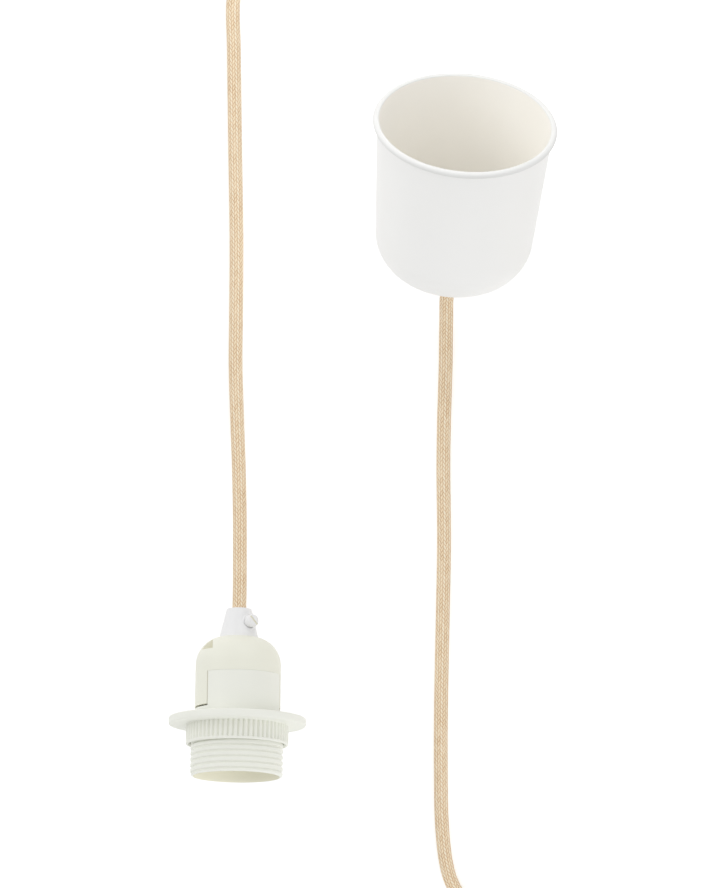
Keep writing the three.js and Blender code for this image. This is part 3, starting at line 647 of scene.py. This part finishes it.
# One solid joined with others, or cut by them
def combined(bm, others, operation):
    base = asObject(bm)
    tools = [asObject(other) for other in others]
    for tool in tools:
        modifier = base.modifiers.new("shape", "BOOLEAN")
        modifier.operation = operation
        modifier.solver = "EXACT"
        modifier.object = tool
    shaped = base.evaluated_get(bpy.context.evaluated_depsgraph_get())
    mesh = bpy.data.meshes.new_from_object(shaped)
    result = bmesh.new()
    result.from_mesh(mesh)
    for old in [base, *tools]:
        bpy.data.objects.remove(old)
    bpy.data.meshes.remove(mesh)
    bmesh.ops.remove_doubles(result, verts=result.verts, dist=merged)
    return result


# A ridge that climbs one pitch a turn, and fades at both ends of its stretch
def raiseThread(bm, spec):
    for vertex in bm.verts:
        radius = vertex.co.xy.length
        height = vertex.co.z
        if abs(radius - spec["root"]) > onSurface or not spec["low"] <= height <= spec["high"]:
            continue
        turn = math.atan2(vertex.co.y, vertex.co.x) / (2 * math.pi)
        wave = 0.5 - 0.5 * math.cos(2 * math.pi * (height / spec["pitch"] - turn - spec["phase"]))
        ridge = min(1.0, wave * spec["gain"]) ** spec["shape"]
        fade = min(1.0, (height - spec["low"]) / spec["fade"], (spec["high"] - height) / spec["fade"])
        vertex.co.xy *= 1 + spec["depth"] * ridge * fade / radius


def placed(bm, place):
    bmesh.ops.transform(bm, matrix=place, verts=bm.verts)
    return bm


# Threaded skirt of the holder
skirt = {
    "steps": 144, "root": 18.9, "bore": 17.75, "body": 18.15, "bodyBore": 16.75, "rim": 0.1,
    "flare": 0.7, "flareHeight": 1.6, "edge": 0.15, "seamRim": 0.03,
    "threadEnd": 24.1, "seam": 43.36, "webLow": 31.0, "webTop": 33.0,
    "runOut": 0.3, "runOutEnd": 1.0, "sleeve": 13.45, "sleeveWall": 1.5, "sleeveMouth": 8.0,
    "slotHalf": 8.95, "slotLow": 28.6, "slotInner": 17.0, "slotStart": 8.0, "bearings": (197.0, 17.0),
    "onWall": 0.05, "underSeam": 0.4, "inside": 0.8, "facing": 0.4,  # which faces take the other finishes
}
outerThread = {
    "root": 18.9, "low": 0.1, "high": 24.4, "pitch": 2.5, "depth": 0.75, "shape": 0.8, "gain": 1.9,
    "phase": -0.15, "fade": 0.4, "rows": 16,
}
lampThread = {
    "root": 13.45, "low": 9.5, "high": 29.5, "pitch": 3.63, "depth": -1.0, "shape": 1.0, "gain": 1.0,
    "phase": 0.0, "fade": 1.2, "rows": 12,
}


def threadedSkirt(spec):
    edge = spec["edge"]
    rim = spec["rim"]
    sleeveOuter = spec["sleeve"] + spec["sleeveWall"]
    seamRim = spec["seamRim"]
    profile = [(spec["bore"] + spec["flare"], 0.0), (spec["root"] - edge, 0.0)]
    outerStep = outerThread["pitch"] / outerThread["rows"]
    profile += rows(spec["root"], edge, spec["threadEnd"] + spec["runOut"], outerStep)
    profile += [(spec["body"], spec["threadEnd"] + spec["runOutEnd"]), (spec["body"], spec["seam"] - seamRim)]
    profile += [(spec["body"] - seamRim, spec["seam"]), (spec["bodyBore"] + rim, spec["seam"])]
    profile += [(spec["bodyBore"], spec["seam"] - rim), (spec["bodyBore"], spec["webTop"])]
    lampStep = lampThread["pitch"] / lampThread["rows"]
    profile += rows(spec["sleeve"], spec["webTop"], spec["sleeveMouth"] + rim, lampStep)
    profile += [(spec["sleeve"] + rim, spec["sleeveMouth"]), (sleeveOuter - rim, spec["sleeveMouth"])]
    profile += [(sleeveOuter, spec["sleeveMouth"] + rim), (sleeveOuter, spec["webLow"])]
    profile += [(spec["bore"], spec["webLow"]), (spec["bore"], spec["flareHeight"])]
    bm = turned(profile, spec["steps"])
    raiseThread(bm, outerThread)
    raiseThread(bm, lampThread)
    # the slots' floors are round, like the tongues that lie in them
    low = spec["slotLow"]
    high = spec["seam"] + 2 * overcut
    size = (spec["body"], 2 * spec["slotHalf"], high - low)
    middle = (spec["body"] * 0.5 + spec["slotStart"], 0.0, (low + high) / 2)
    core = [(0.0, low - overcut), (spec["slotInner"], low - overcut)]
    core += [(spec["slotInner"], high + overcut), (0.0, high + overcut)]
    for bearing in spec["bearings"]:
        floor = turned(core, spec["steps"], closed=False)
        bm = combined(bm, [combined(block(size, middle, bearing), [floor], "DIFFERENCE")], "DIFFERENCE")
    # faces in the slots take the painted slot shade; inward faces inside the mouth take the painted warm
    # shade
    for face in bm.faces:
        spot = face.calc_center_median()
        reach = spot.xy.length
        inward = reach > 0 and face.normal.xy.dot(spot.xy) < -spec["facing"] * reach
        inHeight = low - spec["onWall"] < spot.z < spec["seam"] - spec["underSeam"]
        if inHeight and spec["slotInner"] - spec["onWall"] < reach < spec["body"] - spec["onWall"]:
            face.material_index = 2
        elif inward and reach < spec["bore"] + spec["inside"]:
            face.material_index = 1
    return bm


skirtShape = placed(threadedSkirt(skirt), holderPlace)
skirtPiece = newPiece("threadedSkirt", skirtShape, ivoryPlastic, others=(skirtInsidePaintedShade, slotPaintedShade))
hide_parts("threaded_skirt")
print("skirt turned and threaded")

# Cap of the holder, with its two snap tongues and a release slot above each
cap = {
    "steps": 144, "outer": 18.15, "wall": 1.4, "tongueWall": 1.05, "tongueEnd": 29.3, "tongueHalf": 8.5,
    "seam": 43.4, "domeStart": 47.7, "domeHeight": 12.1, "domeCore": 6.0, "topRadius": 7.9, "hole": 5.3,
    "bearing": 197.0, "rim": 0.15, "outerRows": 22, "innerRows": 16, "boreStep": 0.4, "tongueStep": 0.2,
    "slotBearing": 180.0, "slotInner": 10.8, "slotNear": 6.8, "slotFar": 13.0, "slotFloor": 53.2,
    "pocketWall": 1.2, "pocketInset": 0.2, "flatness": 1e-3, "onWall": 0.1, "cutter": 40.0,
}


def holderCap(spec):
    reach = spec["outer"] - spec["domeCore"]
    last = math.degrees(math.acos((spec["topRadius"] - spec["domeCore"]) / reach))

    def dome(shrink, start, end, steps):
        turns = [math.radians(start + (end - start) * step / steps) for step in range(steps + 1)]
        return [
            (
                spec["domeCore"] + (reach - shrink) * math.cos(turn),
                spec["domeStart"] + (spec["domeHeight"] - shrink) * math.sin(turn),
            )
            for turn in turns
        ]

    rim = spec["rim"]
    top = spec["domeStart"] + spec["domeHeight"]
    tongueBore = spec["outer"] - spec["tongueWall"]
    bore = spec["outer"] - spec["wall"]
    profile = [(tongueBore, spec["tongueEnd"]), (spec["outer"] - rim, spec["tongueEnd"])]
    profile += [(spec["outer"], spec["tongueEnd"] + rim), (spec["outer"], spec["seam"])]
    profile += dome(0.0, 0.0, last, spec["outerRows"])
    profile += [(spec["hole"], top), (spec["hole"], top - spec["wall"])]
    profile += dome(spec["wall"], last, 0.0, spec["innerRows"])
    profile += [(bore, spec["seam"] + spec["boreStep"]), (tongueBore, spec["seam"] + spec["tongueStep"])]
    bm = turned(profile, spec["steps"])
    width = spec["cutter"]
    low = spec["tongueEnd"] - overcut
    size = (2 * width, width, spec["seam"] - low)
    away = spec["tongueHalf"] + width / 2
    besides = [block(size, (0.0, side * away, (spec["seam"] + low) / 2), spec["bearing"]) for side in (-1, 1)]

    # A release slot, and the wall of the pocket behind it
    def slot(grown, turn):
        inner = spec["slotInner"] - grown
        near = spec["slotNear"] - grown
        floor = spec["slotFloor"] - grown
        size = (spec["outer"], spec["slotFar"] + grown - near, spec["domeHeight"])
        middle = (inner + size[0] / 2, near + size[1] / 2, floor + size[2] / 2)
        return block(size, middle, spec["slotBearing"] + turn)

    inset = spec["pocketInset"]
    core = [(0.0, spec["seam"] + overcut), (bore, spec["seam"] + overcut)]
    core += dome(spec["wall"] - inset, 0.0, last, spec["outerRows"]) + [(0.0, top - spec["wall"] + inset)]
    pockets = [
        combined(turned(core, spec["steps"], closed=False), [slot(spec["pocketWall"], turn)], "INTERSECT")
        for turn in (0.0, 180.0)
    ]
    shaped = combined(combined(bm, besides, "DIFFERENCE"), pockets, "UNION")
    shaped = combined(shaped, [slot(0.0, turn) for turn in (0.0, 180.0)], "DIFFERENCE")
    # the slots' flat walls and floors take a darker tan, painted shade in the slot
    near = spec["onWall"]
    for face in shaped.faces:
        middle = face.calc_center_median()
        walls = any(abs(abs(value) - 1) < spec["flatness"] for value in face.normal.xy)
        flat = walls or face.normal.z > 1 - spec["flatness"]
        inHeight = spec["slotFloor"] - near < middle.z < top - spec["wall"]
        if flat and inHeight and abs(middle.x) > spec["slotInner"] - near:
            face.material_index = 1
    return shaped


capPiece = newPiece("holderCap", placed(holderCap(cap), holderPlace), capPlastic, others=(recessPaintedShade,))
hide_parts("holder_cap")
print("cap domed and slotted")

# Shade ring: flange, ribbed collar and plain band in one
ring = {
    "bore": 20.0, "collar": 21.8, "collarLow": 13.5, "round": 0.6, "band": 1.0, "mouth": 0.8, "boreEdge": 0.4,
    "flangeLow": 21.9, "flangeTop": 25.2, "edge": 28.5, "edgeRound": 0.7, "fillet": 0.15,
    "ribs": 62, "stepsPerRib": 10, "firstRib": 140.0, "ribDepth": 0.95, "ribShape": 2.6, "ribFade": 0.3,
    "ribRow": 0.45,
}


def shadeRing(spec):
    low = spec["collarLow"]
    curve = spec["round"]
    fillet = spec["fillet"]
    ribLow = low + spec["band"]
    ribHigh = spec["flangeLow"] - fillet
    profile = [(spec["bore"] + spec["mouth"], low)]
    profile += arc(spec["collar"] - curve, low + curve, curve, -90, 0, 4)
    profile += rows(spec["collar"], ribLow, ribHigh, spec["ribRow"])
    profile += arc(spec["collar"] + fillet, ribHigh, fillet, 180, 90, 5)
    profile += arc(spec["edge"], spec["flangeLow"] + spec["edgeRound"], spec["edgeRound"], -90, 0, 8)
    profile += arc(spec["edge"], spec["flangeTop"] - spec["edgeRound"], spec["edgeRound"], 0, 90, 8)
    profile += [(spec["bore"] + spec["boreEdge"], spec["flangeTop"])]
    profile += [(spec["bore"], spec["flangeTop"] - spec["boreEdge"]), (spec["bore"], low + spec["mouth"])]
    bm = turned(profile, spec["ribs"] * spec["stepsPerRib"])
    for vertex in bm.verts:
        radius = vertex.co.xy.length
        height = vertex.co.z
        if abs(radius - spec["collar"]) > onSurface or not ribLow <= height <= ribHigh:
            continue
        turn = (math.atan2(vertex.co.y, vertex.co.x) + math.radians(spec["firstRib"])) * spec["ribs"]
        valley = (0.5 + 0.5 * math.cos(turn)) ** spec["ribShape"]
        fade = min(1.0, (height - ribLow) / spec["ribFade"])
        vertex.co.xy *= 1 - spec["ribDepth"] * valley * fade / radius
    return bm


ringPiece = newPiece("shadeRing", placed(shadeRing(ring), holderPlace), ivoryPlastic, body="ring")
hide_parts("shade_ring")
print("shade ring ribbed")

# Cord grip with the boss for its screw, and the screw
grip = {
    "steps": 96, "base": 60.1, "seat": 59.8, "skirt": 59.48, "height": 11.9, "baseRadius": 8.4,
    "topRadius": 5.4, "round": 0.3, "bore": 3.05, "boreEdge": 0.25, "stub": 5.0, "stubLength": 5.4,
    "stubEdge": 0.3, "screwHeight": 5.9, "screwBearing": -50.0, "screwHole": 1.9,
    "bossSteps": 48, "bossRadius": 3.0, "bossReach": 6.6, "bossRound": 0.5, "seatFlare": 0.4,
}
gripScrew = {
    "steps": 48, "radius": 1.55, "length": 3.7, "head": 2.65, "headHeight": 3.5, "headEdge": 0.2,
    "side": 3.0, "crown": 3.4, "gap": 0.15,
    "slotWidth": 0.8, "slotDepth": 0.25, "slotTurn": 47.0, "onSlot": 0.01,
}
outwards = Matrix.Rotation(math.radians(90), 4, "Y")
radial = Matrix.Rotation(math.radians(grip["screwBearing"]), 4, "Z") @ outwards
gripScrewPlace = Matrix.Translation((0, 0, grip["base"] + grip["screwHeight"])) @ radial


def cordGrip(spec):
    top = spec["base"] + spec["height"]
    curve = spec["round"]
    stubEnd = spec["base"] - spec["stubLength"]
    stubEdge = spec["stubEdge"]
    profile = [(spec["bore"], stubEnd), (spec["stub"] - stubEdge, stubEnd)]
    profile += [(spec["stub"], stubEnd + stubEdge), (spec["stub"], spec["seat"])]
    profile += [(cap["topRadius"], spec["seat"]), (spec["baseRadius"], spec["skirt"])]
    profile += arc(spec["topRadius"] - curve, top - curve, curve, 15, 90, 6)
    profile += [(spec["bore"] + spec["boreEdge"], top), (spec["bore"], top - spec["boreEdge"])]
    cone = turned(profile, spec["steps"])
    end = spec["bossReach"]
    bossRound = spec["bossRound"]
    boss = [(0.0, 0.0), (spec["bossRadius"], 0.0)]
    boss += arc(spec["bossRadius"] - bossRound, end - bossRound, bossRound, 0, 90, 4)
    boss += [(0.0, end)]
    steps = spec["bossSteps"]
    joined = combined(cone, [placed(turned(boss, steps, closed=False), gripScrewPlace)], "UNION")
    channel = [(0.0, stubEnd - overcut), (spec["bore"], stubEnd - overcut)]
    channel += [(spec["bore"], top + overcut), (0.0, top + overcut)]
    hole = [(0.0, 0.0), (spec["screwHole"], 0.0), (spec["screwHole"], end + overcut), (0.0, end + overcut)]
    # the flat seat under the screw's head is cut a little into the cone
    past = spec["baseRadius"] + overcut
    seat = [(0.0, end), (spec["bossRadius"], end)]
    seat += [(spec["bossRadius"] + spec["seatFlare"], past), (0.0, past)]
    tools = [turned(channel, spec["steps"], closed=False)]
    tools += [placed(turned(shape, steps, closed=False), gripScrewPlace) for shape in (hole, seat)]
    return combined(joined, tools, "DIFFERENCE")


def slottedScrew(spec):
    height = spec["headHeight"]
    head = spec["head"]
    side = spec["side"]
    profile = [(0.0, -spec["length"]), (spec["radius"], -spec["length"]), (spec["radius"], 0.0)]
    profile += [(head - spec["headEdge"], 0.0), (head, spec["headEdge"])]
    curve = height - side
    profile += arc(head - curve, side, curve, 0, 70, 5)
    profile += [(spec["crown"] * 0.5, height), (0.0, height)]
    slot = block((head * 3, spec["slotWidth"], 2 * spec["slotDepth"]), (0, 0, height), spec["slotTurn"])
    bm = combined(turned(profile, spec["steps"], closed=False), [slot], "DIFFERENCE")
    turn = math.radians(spec["slotTurn"])
    onSlot = spec["onSlot"]
    # the faces of the slot take the painted shade
    for face in bm.faces:
        spot = face.calc_center_median()
        aside = spot.y * math.cos(turn) - spot.x * math.sin(turn)
        if abs(aside) < spec["slotWidth"] / 2 + onSlot and spot.z > height - spec["slotDepth"] - onSlot:
            face.material_index = 1
    return bm


gripPiece = newPiece("cordGrip", placed(cordGrip(grip), holderPlace), gripPlastic)
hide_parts("cord_grip")
screwOut = Matrix.Translation((0, 0, grip["bossReach"] + gripScrew["gap"]))
screwShape = placed(slottedScrew(gripScrew), holderPlace @ gripScrewPlace @ screwOut)
screwPiece = newPiece("gripScrew", screwShape, gripPlastic, others=(recessPaintedShade,))
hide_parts("cord_grip_screw")
print("cord grip and its screw made")

# Ceiling cup with its rolled lip and the cord's hole
shell = {
    "steps": 176, "hole": 3.2, "holeRound": 0.3, "corner": 14.1, "cornerRound": 19.5, "wall": 2.0,
    "rim": 36.9, "rimWall": 0.7, "height": 75.5, "lip": 1.35, "lipMiddle": 37.45, "lipFlat": 0.45,
    "underLip": 0.3, "flatEnd": 0.3, "mouthRound": 0.8, "facing": 0.5, "insideTop": 0.6, "floorFacing": 0.3,
}


def ceilingCup(spec):
    wall = spec["wall"]
    bore = spec["rim"] - spec["rimWall"]
    lip = spec["lip"]
    flatStart = spec["lipMiddle"] - spec["lipFlat"]
    holeRound = spec["holeRound"]
    profile = [(spec["hole"], holeRound), (spec["hole"] + holeRound, 0.0)]
    profile += arc(spec["corner"], spec["cornerRound"], spec["cornerRound"], -90, 0, 24)
    profile += [(spec["rim"], spec["height"] - 2 * lip - spec["underLip"])]
    profile += arc(spec["lipMiddle"], spec["height"] - lip, lip, -100, 90, 14)
    profile += [(flatStart + spec["flatEnd"], spec["height"])]
    mouthRound = spec["mouthRound"]
    profile += arc(bore + mouthRound, spec["height"] - mouthRound, mouthRound, 90, 180, 6)
    profile += arc(spec["corner"], spec["cornerRound"], spec["cornerRound"] - wall, 0, -90, 20)
    profile += [(spec["hole"] + holeRound, wall), (spec["hole"], wall - holeRound)]
    bm = turned(profile, spec["steps"])
    # the inside and the floor take the painted light; the lip takes the painted shade
    for face in bm.faces:
        middle = face.calc_center_median()
        inward = face.normal.xy.dot(middle.xy.normalized()) < -spec["facing"]
        floor = face.normal.z > spec["floorFacing"] and middle.z < spec["cornerRound"]
        if inward and middle.z < spec["height"] - spec["insideTop"] or floor:
            face.material_index = 1
        elif middle.z > spec["height"] - 2 * lip:
            face.material_index = 2
    return bm


cupShape = placed(ceilingCup(shell), cupPlace)
cupPiece = newPiece("ceilingCup", cupShape, cupPlastic, others=(cupInsidePaintedLight, lipPaintedShade))
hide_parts("ceiling_cup")
print("cup turned")

# Rubber bush on the cord in the cup's hole
bush = {"steps": 64, "bore": 3.04, "base": 2.3, "radius": 8.0, "height": 5.7, "round": 0.6, "topShare": 0.7}


def cordBush(spec):
    base = spec["base"]
    curve = spec["round"]
    middle = base + spec["height"] * 0.5
    top = base + spec["height"]
    profile = [(spec["bore"], base)]
    profile += arc(spec["radius"] - curve, base + curve, curve, -90, 0, 4)
    profile += arc(spec["radius"] - curve, middle - curve, curve, 0, 60, 4)
    profile += arc(spec["radius"] * spec["topShare"] - curve, top - curve, curve, 35, 90, 4)
    profile += [(spec["bore"], top)]
    return turned(profile, spec["steps"])


bushPiece = newPiece("cordBush", placed(cordBush(bush), cupPlace), bushRubber)
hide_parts("cord_bush")


# Angles in degrees; the merging distance is in metres, as the solids are
softening = {"merged": 1e-6, "flat": 1.0, "sharp": 40.0, "segments": 2, "wireSharp": 80.0, "wireLevels": 2}


# A solid's own shape with its flat faces made whole again and its edges rounded
def softened(node, name, material, width):
    bm = bmesh.new()
    bm.from_mesh(nodes[node].data)
    bmesh.ops.remove_doubles(bm, verts=bm.verts, dist=softening["merged"])
    flat = math.radians(softening["flat"])
    bmesh.ops.dissolve_limit(bm, angle_limit=flat, verts=bm.verts, edges=bm.edges)
    least = math.radians(softening["sharp"])
    sharp = [edge for edge in bm.edges if edge.is_manifold and edge.calc_face_angle(0.0) > least]
    bmesh.ops.bevel(
        bm, geom=sharp, offset=width * mm, segments=softening["segments"], profile=0.5,
        affect="EDGES", material=-1, clamp_overlap=True,
    )
    piece = newPiece(name, bm, material, sharp=softening["sharp"])
    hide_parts(node)


for node, name, width in [
    ("contact_block", "contactBlock", 0.3), ("hook_body", "hookBody", 0.45), ("clamp_bar", "clampBar", 0.45),
    ("terminal_block", "terminalBlock", 0.4),
]:
    softened(node, name, innerPlastic, width)
for node, name in [
    ("centre_contact", "centreContact"), ("side_contact", "sideContact"),
    ("terminal_insert_brown", "brownInsert"), ("terminal_insert_blue", "blueInsert"),
]:
    softened(node, name, brassMetal, 0.12)
for node, name in [
    ("holder_terminal_screw_1", "holderScrewOne"), ("holder_terminal_screw_2", "holderScrewTwo"),
    ("clamp_screw_1", "clampScrewOne"), ("clamp_screw_2", "clampScrewTwo"),
    ("terminal_screw_1", "terminalScrewOne"), ("terminal_screw_2", "terminalScrewTwo"),
    ("terminal_screw_3", "terminalScrewThree"), ("terminal_screw_4", "terminalScrewFour"),
]:
    softened(node, name, zincSteel, 0.1)


# The conductors, rounded from their eight-sided solids
def conductor(node, name, material):
    bm = bmesh.new()
    bm.from_mesh(nodes[node].data)
    bmesh.ops.remove_doubles(bm, verts=bm.verts, dist=softening["merged"])
    piece = newPiece(name, bm, material, sharp=softening["wireSharp"])
    smoother = piece.modifiers.new("rounder", "SUBSURF")
    smoother.levels = softening["wireLevels"]
    smoother.render_levels = softening["wireLevels"]
    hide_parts(node)


conductor("brown_wire_in_holder", "brownWireInHolder", brownInsulation)
conductor("brown_wire_in_cup", "brownWireInCup", brownInsulation)
conductor("blue_wire_in_holder", "blueWireInHolder", blueInsulation)
conductor("blue_wire_in_cup", "blueWireInCup", blueInsulation)
print("inner pieces finished")

# Table, light and world
table = {"half": 3000.0, "colour": (0.86, 0.86, 0.86), "glow": 0.42}


def tableTop():
    finish = Finish("tableTop")
    path = finish.node("ShaderNodeLightPath")
    seen = Wire(finish, path.socket.node.outputs["Is Camera Ray"])
    mirrored = Wire(finish, path.socket.node.outputs["Is Glossy Ray"])
    factor = (seen + mirrored).atMost(1.0)
    plain = finish.node("ShaderNodeBsdfDiffuse", None, {"Color": (*table["colour"], 1.0)})
    white = finish.node("ShaderNodeEmission", None, {"Strength": table["glow"]})
    shown = finish.node("ShaderNodeAddShader", None, {0: plain, 1: white})
    finish.outputFrom(finish.node("ShaderNodeMixShader", None, {0: factor, 1: plain, 2: shown}))
    return finish.material


floorMesh = bmesh.new()
bmesh.ops.create_grid(floorMesh, x_segments=1, y_segments=1, size=table["half"])
bmesh.ops.transform(floorMesh, matrix=tablePlace, verts=floorMesh.verts)
floor = newPiece("tableTop", floorMesh, tableTop(), body=None)

light = {
    "world": 0.7,
    "key": {"energy": 8.5, "place": (-1.7, 0.9, 1.1), "size": 1.5},
    "side": {"energy": 5.2, "place": (1.8, -0.9, 0.75), "size": 1.1},
    "back": {"energy": 0.23, "place": (0.04, 0.31, 0.21), "size": 0.2},
    "front": {"energy": 0.4, "place": (0.12, -0.58, 0.25), "size": 0.4},
}

world = bpy.data.worlds.new("studio")
bpy.context.scene.world = world
world.use_nodes = True
background = world.node_tree.nodes["Background"]
background.inputs["Color"].default_value = (1.0, 1.0, 1.0, 1.0)
background.inputs["Strength"].default_value = light["world"]


# A round lamp that points at the middle of the table
def softLamp(name, spec):
    data = bpy.data.lights.new(name, "AREA")
    data.shape = "DISK"
    data.size = spec["size"]
    data.energy = spec["energy"]
    lamp = bpy.data.objects.new(name, data)
    lamp.location = spec["place"]
    lamp.rotation_euler = (-Vector(spec["place"])).to_track_quat("-Z", "Y").to_euler()
    bpy.context.scene.collection.objects.link(lamp)


for side in ("key", "side", "back", "front"):
    softLamp(side + "Lamp", light[side])
bpy.context.scene.view_settings.view_transform = "Standard"
print("table and light set")
